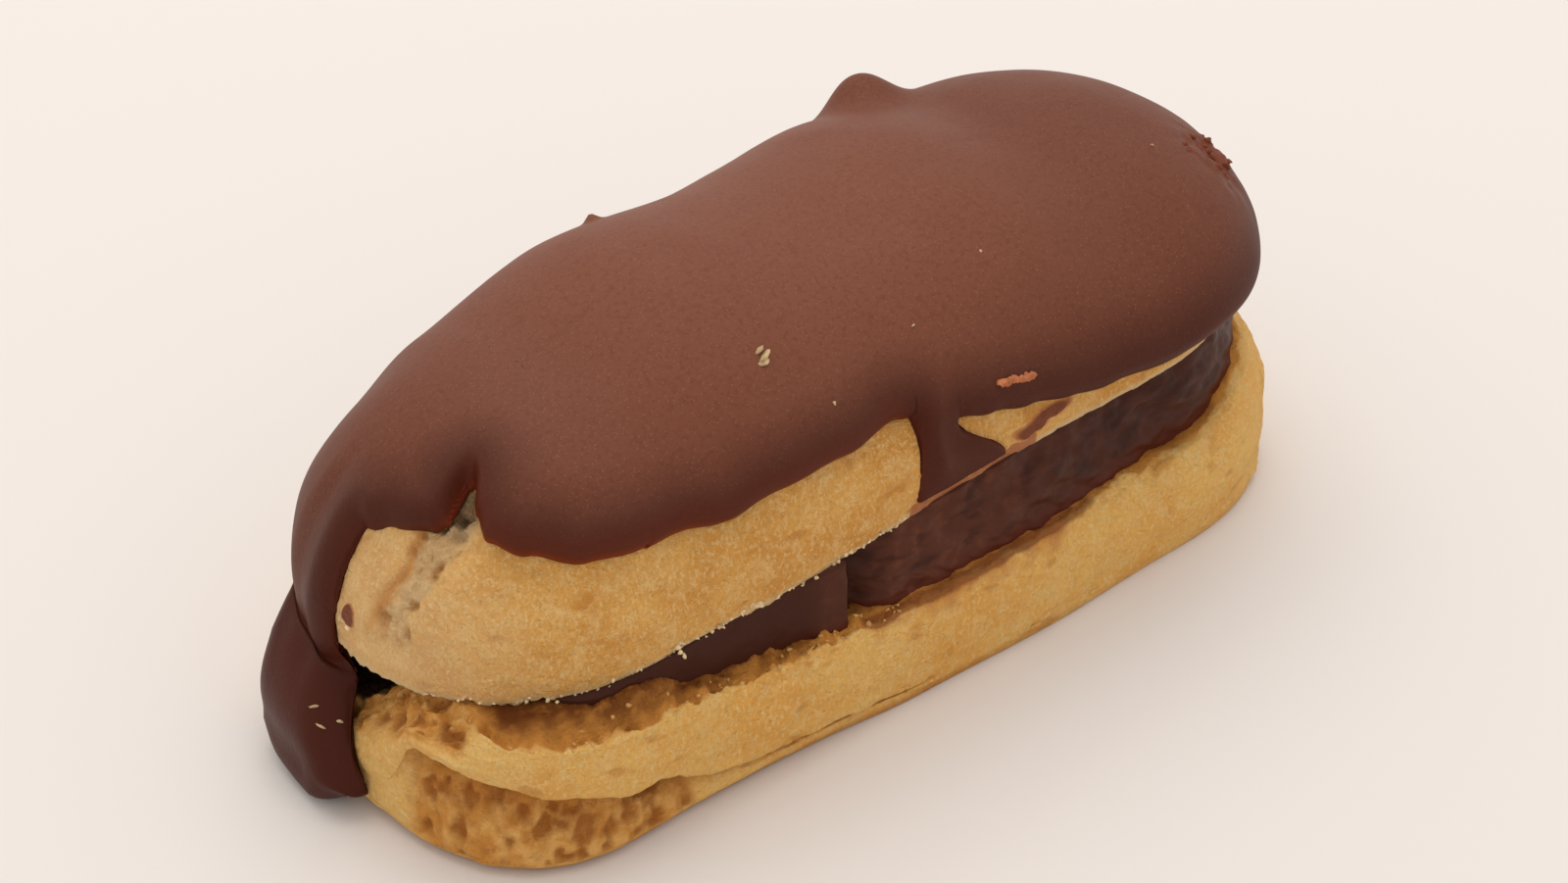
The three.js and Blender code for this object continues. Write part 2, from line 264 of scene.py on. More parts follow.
# %% Driving sizes of the shell
BASE = dict(
    ridge=21.2, left=11.9, right=16.2, roundness=2.6, x=0, y=0,
    near=[14.4, 14.6, 14.7, 15.0, 14.6], far=[14.2, 14.3, 14.3, 14.9, 14.9],
)
CAP = dict(
    ridge=19.9, left=13.2, right=14.3, roundness=2.1, x=1.2, y=1.1,
    near=[13.2, 13.8, 13.7, 13.8, 14.3], far=[12.3, 14.1, 14.1, 14.5, 14.8],
    crown=[12.4, 14.4, 13.1, 12.6, 10.3],
)
CUT_HEIGHT = 12.7
CUT_TILT = math.radians(4.8)
DOME_POWER = 2.15
DOME_SHOULDER = 0.16  # how far the dome swells out between its cut and its crown
CREAM_STEP = -0.25  # place along the ridge where the cream steps forward

# Hills and hollows of the dome: turn, angle up the dome, width in turns, spread in degrees, push.
SWELLS = [
    (0.818, 38, 0.024, 20, -0.6),
    (0.772, 46, 0.045, 25, 0.65),
    (0.685, 52, 0.03, 25, -0.15),
    (0.57, 46, 0.03, 22, 0.25),
    (0.865, 25, 0.03, 25, -0.35),
    (0.13, 35, 0.03, 25, -0.3),
    (0.963, 56, 0.02, 13, 0.5),
    (0.93, 57, 0.02, 10, -0.35),
]

lowest, highest = (np.array(corner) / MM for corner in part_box("pastry_bottom"))
BASE_REACH = 1.005  # about how far the band reaches at the ends, as a share of the plan
left_edge = -BASE["ridge"] - BASE["left"] * BASE_REACH
right_edge = BASE["ridge"] + BASE["right"] * BASE_REACH
ORIGIN = np.array([(lowest[0] + highest[0]) / 2 - (left_edge + right_edge) / 2, 0, 0])
ORIGIN[1] = (lowest[1] + highest[1]) / 2
print("the plan's middle lies at", np.round(ORIGIN, 2), "mm in the packed frame")


# %% Plan and dome
def plan(body, turn, size, grow=0.0):
    """x and y at a share of the full outline: a superellipse round the ends of a ridge line."""
    ridge, nx, ny = facing(turn)
    power = 2 / body["roundness"]
    reach = np.where(nx < 0, body["left"], body["right"]) + grow
    near = through(body["near"], ridge) + grow
    far = through(body["far"], ridge) + grow
    width = (near + far) / 2 + (far - near) / 2 * ny
    x = body["x"] + ridge * body["ridge"] + np.sign(nx) * np.abs(nx) ** power * reach * size
    y = body["y"] + np.sign(ny) * np.abs(ny) ** power * width * size
    return x, y


def cut_plane(x):
    """Height of the tilted cut: it rises evenly from left to right."""
    return CUT_HEIGHT + math.tan(CUT_TILT) * x


def dome(turn, angle, grow=0.0):
    """Points of the cap: superelliptic quarter arcs from the cut, at angle 0, to the ridge, at 90."""
    ridge, nx, ny = facing(turn)
    radians = np.radians(np.clip(angle, 0, 90))
    rise = np.sin(radians) ** (2 / DOME_POWER)
    size = np.abs(np.cos(radians)) ** (2 / DOME_POWER)
    size = np.where(angle >= 90, 0, size * (1 + DOME_SHOULDER * rise * (1 - rise)))
    x, y = plan(CAP, turn, size, grow)
    z = cut_plane(x) + (through(CAP["crown"], ridge) + grow) * rise
    fade = np.cos(np.radians(np.clip(angle, 0, 90)))
    for middle, up, width, spread, push in SWELLS:
        hill = push * bump(turn_away(turn, middle), width) * bump(angle - up, spread)
        x = x + hill * nx * fade
        y = y + hill * ny * fade
        z = z + hill * np.sin(radians) * np.minimum(1, fade * 4)
    return np.stack([x, y, z], -1)


# %% [markdown]
# ## Finishes written as formulas
# A finish is a small node tree. Wrapping a socket in a class with the usual operators lets a
# finish be read like arithmetic, and short methods add the other nodes.


# %% Shader helpers
def linear(red, green, blue):
    """A display colour from 0 to 255 as the linear colour that Blender works in."""
    c = np.array([red, green, blue]) / 255
    value = np.where(c <= 0.04045, c / 12.92, ((c + 0.055) / 1.055) ** 2.4)
    return (*value.tolist(), 1.0)


class Wire:
    """One output socket. Arithmetic on it adds Math nodes to its finish."""

    def __init__(self, finish, socket):
        self.finish, self.socket = finish, socket

    def math(self, operation, *values):
        return self.finish.node("ShaderNodeMath", {"operation": operation}, values)

    def __add__(self, other):
        return self.math("ADD", self, other)

    __radd__ = __add__

    def __sub__(self, other):
        return self.math("SUBTRACT", self, other)

    def __rsub__(self, other):
        return self.math("SUBTRACT", other, self)

    def __mul__(self, other):
        return self.math("MULTIPLY", self, other)

    __rmul__ = __mul__

    def step(self, low, high):
        """0 below low, 1 above high, eased between."""
        settings = {"interpolation_type": "SMOOTHSTEP"}
        values = {"Value": self, "From Min": low, "From Max": high}
        return self.finish.node("ShaderNodeMapRange", settings, values)


class Finish:
    """A material whose nodes are added by name and joined by wires."""

    def __init__(self, name):
        self.material = bpy.data.materials.new(name)
        self.material.use_nodes = True
        self.tree = self.material.node_tree
        self.tree.nodes.clear()
        self.place = self.node("ShaderNodeTexCoord", {}, {}, "Object")

    def node(self, kind, settings, values, output=0):
        node = self.tree.nodes.new(kind)
        for key, value in settings.items():
            setattr(node, key, value)
        pairs = values.items() if isinstance(values, dict) else enumerate(values)
        for key, value in pairs:
            socket = node.inputs[key]
            if isinstance(value, Wire):
                self.tree.links.new(value.socket, socket)
            else:
                socket.default_value = value
        return Wire(self, node.outputs[output]) if node.outputs else node

    def grain(self, size_mm, detail=3, rough=0.5, stretch=(1, 1, 1)):
        """Noise from about 0.3 to 0.7 with hills of the given size."""
        mapping = {"Vector": self.place, "Scale": stretch}
        where = self.node("ShaderNodeMapping", {}, mapping)
        values = {"Vector": where, "Scale": 1 / (size_mm * MM), "Detail": detail}
        values["Roughness"] = rough
        return self.node("ShaderNodeTexNoise", {}, values)

    def cells(self, size_mm):
        values = {"Vector": self.place, "Scale": 1 / (size_mm * MM)}
        return self.node("ShaderNodeTexVoronoi", {}, values, "Distance")

    def mask(self, name):
        return self.node("ShaderNodeAttribute", {"attribute_name": name}, {}, "Fac")

    def blend(self, under, *layers):
        """A display colour or wire, with each (share, colour) laid over it in turn."""
        for share, over in layers:
            node = self.tree.nodes.new("ShaderNodeMix")
            node.data_type = "RGBA"
            for index, value in ((0, share), (6, under), (7, over)):
                if isinstance(value, Wire):
                    self.tree.links.new(value.socket, node.inputs[index])
                else:
                    node.inputs[index].default_value = linear(*value)
            under = Wire(self, node.outputs[2])
        return under

    def relief(self, height, depth_mm, under=None):
        """A bump of the given depth, on top of another bump if one is given."""
        values = {"Strength": 1.0, "Distance": depth_mm * MM, "Height": height}
        if under is not None:
            values["Normal"] = under
        return self.node("ShaderNodeBump", {}, values)

    def surface(self, values):
        shader = self.node("ShaderNodeBsdfPrincipled", {}, values)
        self.node("ShaderNodeOutputMaterial", {}, {"Surface": shader})
        return self.material


# %% [markdown]
# ## The upper half
# The cap is a thin-skinned dome with a fine, slightly fibrous grain. It was sliced with a
# knife, so its lower edge is ragged with tiny flakes. At the left end the skin cracked below
# a notch in the icing, which left a pit and a paler streak. Thin smears of chocolate lie on
# it beside the drip. The cap is a grid: under the cut from the ridge outwards, round the
# edge, and up the dome, which goes on under the icing.

# %% Choux cap
CAP_UNDER = np.array([0, 0.3, 0.6, 0.8, 0.9, 0.95, 0.975])
CAP_RISE = np.concatenate([np.linspace(0, 3, 10), np.linspace(3.5, 62, 120), np.linspace(66, 90, 7)])
PIT_TURN, PIT_ANGLE = 0.9285, 48


def patch(turn, angle, middle, up, width, spread):
    """1 in the middle of an oval spot on the dome, fading outwards."""
    return bump(turn_away(turn, middle), width) * bump(angle - up, spread)


def crack_mask(turn, angle, points):
    """A rough streak slanting down to the left from the pit, and the browner seam beside it."""
    fallen = (PIT_ANGLE - angle) / 32
    middle = PIT_TURN - 0.015 * fallen + 0.0022 * layered(points, 2.2, 43)
    width = 0.0075 + 0.0035 * ease(angle, 25, 50)
    streak = bump(turn_away(turn, middle), width) + 0.3 * layered(points, (1.2, 1.2, 1.6), 44)
    shown = ease(angle, 6, 22) * (1 - ease(angle, 50, 60))
    seam = bump(turn_away(turn, middle - 0.9 * width), 0.0024)
    return ease(streak, 0.35, 0.85) * shown, seam * shown


def smear_mask(turn, angle, points):
    """Chocolate on the crust: a spot beyond the drip, a chip at the left end, a stained edge."""
    wander = 1.6 * noise(points, 0.9, 17) + 0.8 * noise(points, 0.4, 18)
    lower = patch(turn, angle, 0.206, 5.5, 0.013, 2.8)
    upper = patch(turn, angle, 0.218, 7.5, 0.014, 2.8)
    spot = ease(np.maximum(lower, upper) + 0.08 * wander, 0.25, 0.8)
    chip = ease(patch(turn, angle, 0.8965, 13, 0.0028, 4) + 0.1 * wander, 0.4, 0.6)
    stained = between(turn, 0.136, 0.208, 0.004) * (1 - ease(angle + 0.4 * wander, 2.2, 3.6))
    return np.maximum(spot, chip), stained


def choux_cap():
    """The cap's grid and masks: under the cut, round its ragged edge and up the dome."""
    turn = TURN[None]
    under = []
    for size in CAP_UNDER:
        x, y = plan(CAP, TURN, size)
        under.append(np.stack([x, y, cut_plane(x)], -1))
    side = dome(turn, CAP_RISE[:, None] + 0 * turn)
    grid = np.concatenate([np.array(under), side])
    angle = np.concatenate([0 * CAP_UNDER, CAP_RISE])[:, None] + 0 * turn
    turns = turn + 0 * angle
    normal = grid_normals(grid)
    shown = np.concatenate([0 * CAP_UNDER, ease(CAP_RISE, 0, 3)])[:, None] * (1 - ease(angle, 60, 70))
    push = 0.13 * layered(grid, (7, 7, 5), 11) + 0.06 * layered(grid, (1.8, 1.8, 1.1), 21)
    push = push + 0.05 * layered(grid, 0.45, 31, 2)
    crack, seam = crack_mask(turns, angle, grid)
    pit = patch(turns, angle, PIT_TURN + 0.003, PIT_ANGLE + 3, 0.0085, 8)
    hollow = ease(layered(grid, (1.1, 1.1, 0.8), 41), 0.1, 0.7)
    frayed = layered(grid, (0.7, 0.7, 1.1), 45, 4)
    push = push - crack * (0.3 + 0.1 * hollow - 0.36 * frayed) - 0.15 * seam
    push = push - pit * (0.45 + 0.35 * hollow - 0.3 * frayed)
    spot, stained = smear_mask(turns, angle, grid)
    push = push + 0.12 * ease(spot, 0.4, 0.9)
    grid = grid + normal * (push * shown)[..., None]
    clean = 1 - 0.75 * between(turns, 0.14, 0.5, 0.03)
    ragged = clean * (0.2 * layered(grid, 1.1, 51) + 0.16 * layered(grid, 0.4, 61, 2))
    inner = np.concatenate([ease(CAP_UNDER, 0.8, 0.97), 1 + 0 * CAP_RISE])[:, None]
    grid[..., 2] += bump(angle, 2.2) * inner * ragged
    cut = np.concatenate([1 + 0 * CAP_UNDER, 1 - ease(CAP_RISE, 0.4, 2.2)])[:, None] + 0 * turn
    pale = ease(-grid[..., 0], 24, 34)
    masks = {"crack": crack, "rip": crack * ease(-frayed, -0.2, 0.5), "seam": seam, "notch": pit}
    # The pit mask marks the small holes in the pit, which the finish darkens as painted shade.
    masks |= {"pit": pit * hollow, "pale": pale, "stained": stained, "spot": spot, "cut": cut}
    return grid, masks


cap_grid, cap_masks = choux_cap()
cap_piece = skin("Choux_cap", cap_grid, cap_masks)

# %% [markdown]
# ## The lower half
# The base has a band of crust all round. Near the left end the dough split above its foot, and
# the open crumb shows between the band and the floor of the loaf. Inside the band's top edge
# lies a ledge of torn crumb, on which the filling sits. The side profile is a chain of keys,
# each with a share of the outline, an inset and a height, eased from station to station.

# %% Side profile of the base
# Along the ridge: height of the crust's top edge. Round the plan: lower edge of the band.
TOP_ALONG = [8.9, 7.9, 7.4, 7.4, 7.3]
LIP = [
    (0.0, 4.4), (0.03, 2.5), (0.055, 1.9), (0.1, 1.5), (0.16, 0.9), (0.5, 0.9), (0.78, 0.9),
    (0.88, 1.2), (0.905, 4.0), (0.918, 8.0), (0.945, 6.9), (0.972, 5.7),
]
LEFT_LEAN = 2.3
LEFT_LIFT, RIGHT_LIFT = 1.1, 2.9  # how much higher the crust's top edge stands at the ends
CAP_CLEARANCE = 0.1
POCKET_DEPTH = 4.0


def left_lean(height):
    """How far the left end of the base leans in at a height."""
    return LEFT_LEAN * ease(height, 3.8, 9.5)


def pocket(turn):
    """1 where the left end is torn away under the cap, behind the run and just beside it."""
    return between(turn, 0.86, 0.889, 0.014)


def crust_top(turn):
    """Height of the crust's top edge: it rises at both ends and drops at the torn pocket."""
    ridge, nx, _ = facing(turn)
    ends = LEFT_LIFT * ease(-nx, 0.1, 0.95) + RIGHT_LIFT * ease(nx, 0.1, 0.95)
    return through(TOP_ALONG, ridge) + ends - POCKET_DEPTH * pocket(turn)


def top_inset(turn):
    """How far the top edge leans in: more towards the right, and at the torn left corner."""
    ridge, nx, _ = facing(turn)
    right = 0.75 * ease(ridge, 0.0, 1.0) + 0.25 * ease(nx, 0, 0.7)
    return 0.3 + 1.4 * right + 1.6 * between(turn, 0.9, 0.93, 0.025)


def cut_clearance(x):
    """Highest that the base may reach below the cut."""
    return cut_plane(x) - CAP_CLEARANCE


def soften(table):
    """Averages each row with its neighbours, so that a polyline's corners become round."""
    table[1:-1] = (table[:-2] + 2 * table[1:-1] + table[2:]) / 4
    return table


def base_profile(turn, where):
    """Share, inset and height of each row, in softened straight lines between keys; the split."""
    ridge, nx, _ = facing(turn)
    lip, top, lean = eased_knots(LIP, turn), crust_top(turn), top_inset(turn)
    split = between(turn, 0.922, 1.012, 0.016)
    undercut = between(turn, 0.02, 0.09, 0.05)
    open_lip = np.maximum(split, undercut)
    foot = 0.2 + 0.9 * between(turn, 0.86, 1.05, 0.08) + 0.5 * undercut
    recess = 0.1 + 1.7 * split + 0.9 * undercut
    ledge = top + 0.25 + 1.6 * ease(-ridge, 0.8, 1.0) * (1 - pocket(turn))
    body = 0.9 + (lip - 0.9) * 0.5
    band = top - lip
    spine = through(TOP_ALONG, ridge) - 0.6
    keys = [
        # place, share, inset, height
        (0, 0, 0, 0), (5, 0.6, 0, 0), (9, 1, foot + 1.5, 0), (12, 1, foot, 0),
        (14, 1, foot * 0.55, 0.2), (18, 1, 0.1 + 0.4 * undercut, 0.9), (24, 1, recess * 0.45, body),
        (31, 1, recess, lip - 0.3), (33.5, 1, recess * 0.7, lip - 0.05), (35.5, 1, 0.3 * open_lip, lip),
        (37.5, 1, 0.05 * open_lip, lip + 0.3), (46, 1, -0.1, lip + 0.4 * band),
        (53, 1, lean * 0.15 - 0.05, lip + 0.7 * band), (59, 1, lean * 0.5, lip + 0.88 * band),
        (63, 1, lean * 0.8, lip + 0.97 * band), (66, 1, lean + 0.1, top),
        (69, 1, lean + 0.5, top + 0.1), (75, 1, lean + 1.3, ledge), (86, 1, lean + 4.5, ledge),
        (94, 0.5, 0, spine), (100, 0, 0, spine),
    ]
    places = [key[0] for key in keys]
    weights = np.stack([np.interp(where, places, unit) for unit in np.eye(len(keys))], -1)
    share, inset, height = (
        weights @ np.stack([np.broadcast_to(key[i], turn.shape) for key in keys]) for i in (1, 2, 3)
    )
    height = soften(height)
    inset = soften(inset) + left_lean(height) * between(turn, 0.84, 0.895, 0.02)
    return share, inset, height, split


# %% Choux base
PORE_SIZE = 1.4
BASE_ROWS = np.concatenate([
    np.linspace(0, 12, 8)[:-1], np.linspace(12, 30, 34)[:-1], np.linspace(30, 39, 26)[:-1],
    np.linspace(39, 60, 34)[:-1], np.linspace(60, 80, 40), [84, 88, 94, 97, 100],
])


def choux_base():
    """The base's grid and masks: its profile at each station, pushed along the normals by grain."""
    share, inset, height, split = base_profile(TURN, BASE_ROWS)
    x, y = plan(BASE, TURN[None], share, -inset * (share > 0))
    grid = np.stack([x, y, height], -1)
    normal = grid_normals(grid)
    place = BASE_ROWS[:, None] + 0 * TURN[None]
    ridge, nx, _ = facing(TURN[None])
    corner = between(TURN[None], 0.89, 0.928, 0.015) * ease(place, 44, 52)
    side = ease(place, 14, 20) * (1 - ease(place, 62, 68))
    ledge = ease(place + 2.0 * layered(grid, 1.3, 33), 65, 69) * (1 - ease(place, 90, 94))
    torn = split[None] * ease(place, 16, 19) * (1 - ease(place, 34, 36))
    crumb = np.maximum(torn, np.maximum(ledge, corner))
    bent = grid + 0.4 * layered(grid, 1.1, 61)[..., None]
    away = pores(bent * (1, 1, 0.75), PORE_SIZE, 71)
    hollow = ease(0.6 - away + 0.14 * layered(grid, 0.8, 72), 0.0, 0.38)
    small = ease(layered(grid, 0.55, 73), 0.1, 0.8)
    push = side * (0.14 * layered(grid, (6, 6, 4), 12) + 0.08 * layered(grid, (1.8, 1.8, 0.9), 22))
    push = push + side * 0.055 * layered(grid, 0.5, 23, 2)
    push = push + torn * (0.12 - 0.3 * hollow - 0.06 * small + 0.2 * noise(grid, 2.2, 91))
    push = push - corner * (0.3 + 0.4 * hollow + 0.15 * small - 0.4 * layered(grid, 1.4, 93, 4))
    grid = grid + normal * push[..., None]
    back = ease(CREAM_STEP - ridge, -0.1, 0.1)
    lumps = 0.3 * layered(grid, 1.1, 101, 4) - 0.15 * hollow - 0.1 * small
    grid[..., 2] += ledge * lumps * (1 - corner) * (0.35 + 0.65 * back)
    grid[..., 2] += bump(place - 68, 7) * (0.08 + 0.18 * back) * layered(grid, 0.75, 111)
    above = place > 50
    grid[..., 2] = np.where(above, np.minimum(grid[..., 2], cut_clearance(grid[..., 0])), grid[..., 2])
    grid[..., 2] = np.maximum(grid[..., 2], 0)
    # Painted shade: the hollow mask darkens the pores of the open crumb.
    masks = {"crumb": crumb, "hollow": np.maximum(hollow, 0.35 * small) * crumb}
    masks["ledge"] = ledge * (1 - corner)
    # Painted shade: the ledge darkens towards the cream, deeper under the cap.
    masks["deep"] = ease(place + 3 * layered(grid, 1.6, 34), 66, 78)
    # Painted shade: the upper part of the torn crumb, under the band's overhanging lip, is darker.
    masks["foot"] = torn * ease(place, 22, 33)
    # Painted shade: the crumb in the torn pocket under the cap is made nearly black.
    masks["gap"] = pocket(TURN[None]) * ease(place, 62, 66)
    forward = ease(ridge, CREAM_STEP - 0.05, CREAM_STEP + 0.05)
    near = forward * (TURN[None] < 0.4) * (1 - ease(ridge, 0.5, 0.9))
    masks["stain"] = bump(place - 66.5, 5) * near
    masks["soak"] = bump(place - 62, 12) * near
    # Painted light: both ends of the crust are made paler, as if more light fell on them.
    masks["pale"] = ease(np.abs(grid[..., 0]), 25, 34)
    return grid, masks | {"floor": (1 - ease(height, 0.2, 0.9)) * (1 - 0.8 * ease(ridge, 0.0, 0.8))}


base_grid, base_masks = choux_base()
base_piece = skin("Choux_base", base_grid, base_masks)

# %% [markdown]
# ## The filling
# Pastry cream was piped on the base. At the left it stands back from the edge and is smooth. It
# ends in a step, left of the middle, where one stroke of the bag ended. Past a recess it swells
# out, and the knife left slanting drag marks. Its grid goes from below the ledge to the cut.

# %% Pastry cream
CREAM_BACK, CREAM_FORWARD = 1.5, 0.75  # inset from the base's top edge, left and right of the step
CREAM_LIP, CREAM_RECESS = 0.8, 2.0  # the swell left of the step and the hollow right of it
LEFT_END_INSET = 3.0


def pastry_cream():
    """The cream's grid and masks: rows from below the ledge to the cut, closed at both ends."""
    ridge = facing(TURN)[0]
    forward = ease(ridge, CREAM_STEP - 0.035, CREAM_STEP + 0.02)
    rise = np.linspace(0, 1, 60)[:, None]
    low = top_inset(TURN) + CREAM_BACK * (1 - forward) + CREAM_FORWARD * forward
    low = low - CREAM_LIP * ease(ridge, CREAM_STEP - 0.35, CREAM_STEP) * (1 - forward)
    low = low + CREAM_RECESS * forward * bump(ridge - CREAM_STEP, 0.085)
    low = low + LEFT_END_INSET * ease(-facing(TURN)[1], 0.1, 0.8)
    inset = low + 0.35 * rise + forward * (0.7 * rise - 0.45 * np.sin(np.pi * rise))

    def row(share, height, inward):
        x, y = plan(BASE, TURN, share, -inward * (share > 0))
        floor, roof = crust_top(TURN) - 1.0, cut_plane(x) + 0.15
        return np.stack([x, y, floor + (roof - floor) * height], -1)

    side = np.array([row(1, r[0], i) for r, i in zip(rise, inset)])
    slanted = side @ np.array([[1, 0, 0.55], [0, 1, 0], [-0.5, 0, 1]])
    drags = 0.14 * layered(slanted, (3.2, 3.2, 0.9), 13)
    lumps = 0.22 * layered(side, (3.5, 3.5, 2.2), 15)
    side = side + grid_normals(side) * ((drags + lumps) * forward + 0.25 * lumps)[..., None]
    below = [row(share, 0, inset[0]) for share in (0, 0.5, 0.9)]
    above = [row(share, 1, inset[-1]) for share in (0.9, 0.5, 0)]
    grid = np.concatenate([np.array(below), side, np.array(above)])
    level = np.concatenate([[0, 0, 0], rise[:, 0], [1, 1, 1]])[:, None] + 0 * TURN[None]
    dull = forward * (1 - 0.8 * ease(ridge, 0.1, 0.8)) * (1 - bump(ridge - CREAM_STEP, 0.1))
    dull = dull + 0.7 * bump(ridge - CREAM_STEP + 0.07, 0.06)
    masks = {"forward": np.broadcast_to(forward, grid.shape[:2]), "level": level}
    return grid, masks | {"dull": np.broadcast_to(dull, grid.shape[:2])}


cream_grid, cream_masks = pastry_cream()
cream_piece = skin("Pastry_cream", cream_grid, cream_masks)

# %% [markdown]
# ## The icing
# Warm icing was poured over the cap and set as a thick skin with a rounded edge. The edge is
# one wavy line round the dome: high at the bare end, with a notch, low at the drip, and at the
# far left it runs right down to the table. The skin lies on a bed, which is the dome and, under
# the cut, a path down the outside of the base. Its thickness grows with the distance to its
# edge like a quarter circle, which rounds every edge, the steep ones too.

# %% Edge of the icing
RIM = [
    (0.0, 33.5), (0.05, 27.5), (0.1, 26.7), (0.13, 29.3), (0.139, 28),
    (0.1425, 3.2), (0.1585, 2.8), (0.163, 21), (0.18, 18), (0.2, 14.5), (0.225, 11), (0.25, 9),
    (0.29, 6.5), (0.33, 4), (0.36, 4), (0.44, 9), (0.5, 14), (0.56, 9), (0.63, 16), (0.7, 10),
    (0.77, 14), (0.832, 6), (0.839, -22), (0.848, -38), (0.86, -41), (0.872, -41), (0.882, -33),
    (0.887, -10), (0.8895, 10), (0.893, 38),
    (0.905, 42), (0.922, 45), (0.9275, 48), (0.9305, 58), (0.933, 59), (0.939, 51), (0.945, 45),
    (0.96, 41), (0.98, 36),
]
DROP_PER_DEGREE = 0.25  # below the cut, each degree under 0 is this far down the run
BED_DEPTH = 0.12  # the icing's bed lies this far inside the dome
FAN_NECK, FAN_FOOT = (0.1415, 0.161), (0.134, 0.203)  # turns that the drip spans, top and bottom
EVEN_STEPS, ROW_WINDOW = 1000, 67  # even turns, and how many of them the soft average spans
TONGUE_FAR, TONGUE_NEAR = 0.836, 0.888  # turns of the two edges of the run


def rim_angle(turn):
    """Angle up the dome of the icing's edge, with a slight waver."""
    wave = 0.6 * noise(np.stack([turn * 170, 0 * turn, 0 * turn], -1), 3.1, 7)
    return eased_knots(RIM, turn) + wave


def fan(turn, angle):
    """Spreads the drip's narrow span of turns into a triangle, from its neck down to the cut."""
    share = np.clip((turn - FAN_NECK[0]) / (FAN_NECK[1] - FAN_NECK[0]), 0, 1)
    foot = FAN_FOOT[0] + share * (FAN_FOOT[1] - FAN_FOOT[0])
    inside = between(turn, *FAN_NECK, 0.002)
    return turn + (foot - turn) * inside * ease(-angle, -23, 3)


def row_angles(rows):
    """Angle of each row: near the edge it follows the rim, further up the rim's soft average."""
    even = np.arange(EVEN_STEPS) / EVEN_STEPS
    edge = rim_angle(even)
    window = np.hanning(ROW_WINDOW)
    wrapped = np.concatenate([edge[-ROW_WINDOW:], edge, edge[:ROW_WINDOW]])
    average = np.convolve(wrapped, window / window.sum(), "same")[ROW_WINDOW:-ROW_WINDOW]
    soft = np.interp(TURN, even, average, period=1)
    share = rows[:, None]
    follow = ease(share, 0.45, 1.0)
    return np.minimum(90 - share * (90 - (soft + (rim_angle(TURN) - soft) * follow)), 90)


def icing_bed(turn, angle):
    """The dome above the cut; below it, down the outside of the base's left end."""
    points = dome(fan(turn, angle), np.maximum(angle, 0), -BED_DEPTH)
    drop = np.maximum(-angle, 0) * DROP_PER_DEGREE
    share = np.clip((turn - TONGUE_FAR) / (TONGUE_NEAR - TONGUE_FAR), -0.5, 1.5)
    spread = ease(drop, 0, 9)
    y = points[..., 1] + spread * (-0.8 * (1 - share) - 6.4 * np.maximum(share, 0) ** 1.5)
    z = points[..., 2] - drop
    end = 1 - np.abs(np.clip(y / BASE["near"][0], -0.99, 0.99)) ** BASE["roundness"]
    base_end = -BASE["ridge"] - BASE["left"] * end ** (1 / BASE["roundness"])
    wall = base_end + left_lean(z) * 1.25 - 0.1
    x = points[..., 0] + (wall - points[..., 0]) * ease(drop, 0, 3)
    below = np.stack([x, y, z], -1)
    return np.where((angle < 0)[..., None], below, points)


def bed_normals(turn, angle):
    """Cross product of small steps round and up the bed, whichever way the grid's rows slant."""
    around = icing_bed(turn + 1.2e-3, angle) - icing_bed(turn - 1.2e-3, angle)
    upward = icing_bed(turn, angle + 1.5) - icing_bed(turn, angle - 1.5)
    normal = np.cross(around, upward)
    return normal / np.maximum(np.linalg.norm(normal, axis=-1, keepdims=True), 1e-9)


def distance_to_edge(grid):
    """Distance from each grid point to the nearest of many points on the icing's edge."""
    fine = np.interp(np.arange(0, len(TURN), 0.34), np.arange(len(TURN) + 1), np.append(TURN, 1))
    line = icing_bed(fine[None], rim_angle(fine)[None])[0]
    nearest = np.empty(grid.shape[:2])
    for row, points in enumerate(grid):
        apart = points[:, None, :] - line[None]
        nearest[row] = np.sqrt((apart**2).sum(-1).min(1))
    return nearest


# %% Icing skin
OUTER_ROWS, INNER_ROWS = 120, 16
OUTER_SHARES = 1 - np.linspace(0, 1, OUTER_ROWS) ** 1.35  # rows crowd towards the edge
TABLE_GAP = 0.02
THICK, TONGUE_THICK = 1.5, 2.3
BROKEN = (0.36, 36)  # turn and angle of the patch where the skin broke
# The nub is a small raised tail of icing on the far edge.
NUB_PLACE, NUB_HEIGHT, NUB_RADIUS = (18.0, 12.8, 22.3), 2.7, 2.7


def icing_thickness(turn, angle, away, bed):
    """Quarter-circle growth from the edge, thin at the drip and the notch, thick on the run."""
    low = ease(-angle, 2, 24)
    side = low * (1 - ease(-angle, 26, 38))
    drip = between(turn, 0.14, 0.162, 0.005) * (1 - ease(angle, 14, 30))
    notch = patch(turn, angle, 0.931, 54, 0.006, 12)
    left = between(turn, 0.872, 0.905, 0.012) * (1 - ease(angle, 35, 60))
    thin = np.maximum(np.maximum(0.66 * drip, 0.3 * notch), 0.25 * left * (1 - low))
    edge_round = 1.2 * (1 - thin) + 2.0 * side + 1.2 * notch + 1.2 * left * (1 - low)
    full = THICK * (1 - thin) + (TONGUE_THICK - THICK) * low + 0.15 * bump(away - 1.6, 1.0)
    thick = full * np.sqrt(1 - (1 - np.minimum(away / edge_round, 1)) ** 2)
    thick = thick + 0.1 * layered(bed, 6.0, 14, 2) * ease(away, 0, 2)
    fold = bump(turn_away(turn, 0.1475), 0.0026)
    thick = thick + 0.22 * fold * drip * ease(away, 0, 0.8)
    broken = patch(turn, angle, *BROKEN, 0.013, 9)
    thick = thick - broken * (0.3 + 0.5 * layered(bed, 1.1, 19))
    lump = 0.5 * patch(turn, angle, 0.697, 51, 0.003, 2.2)
    return thick + lump, broken


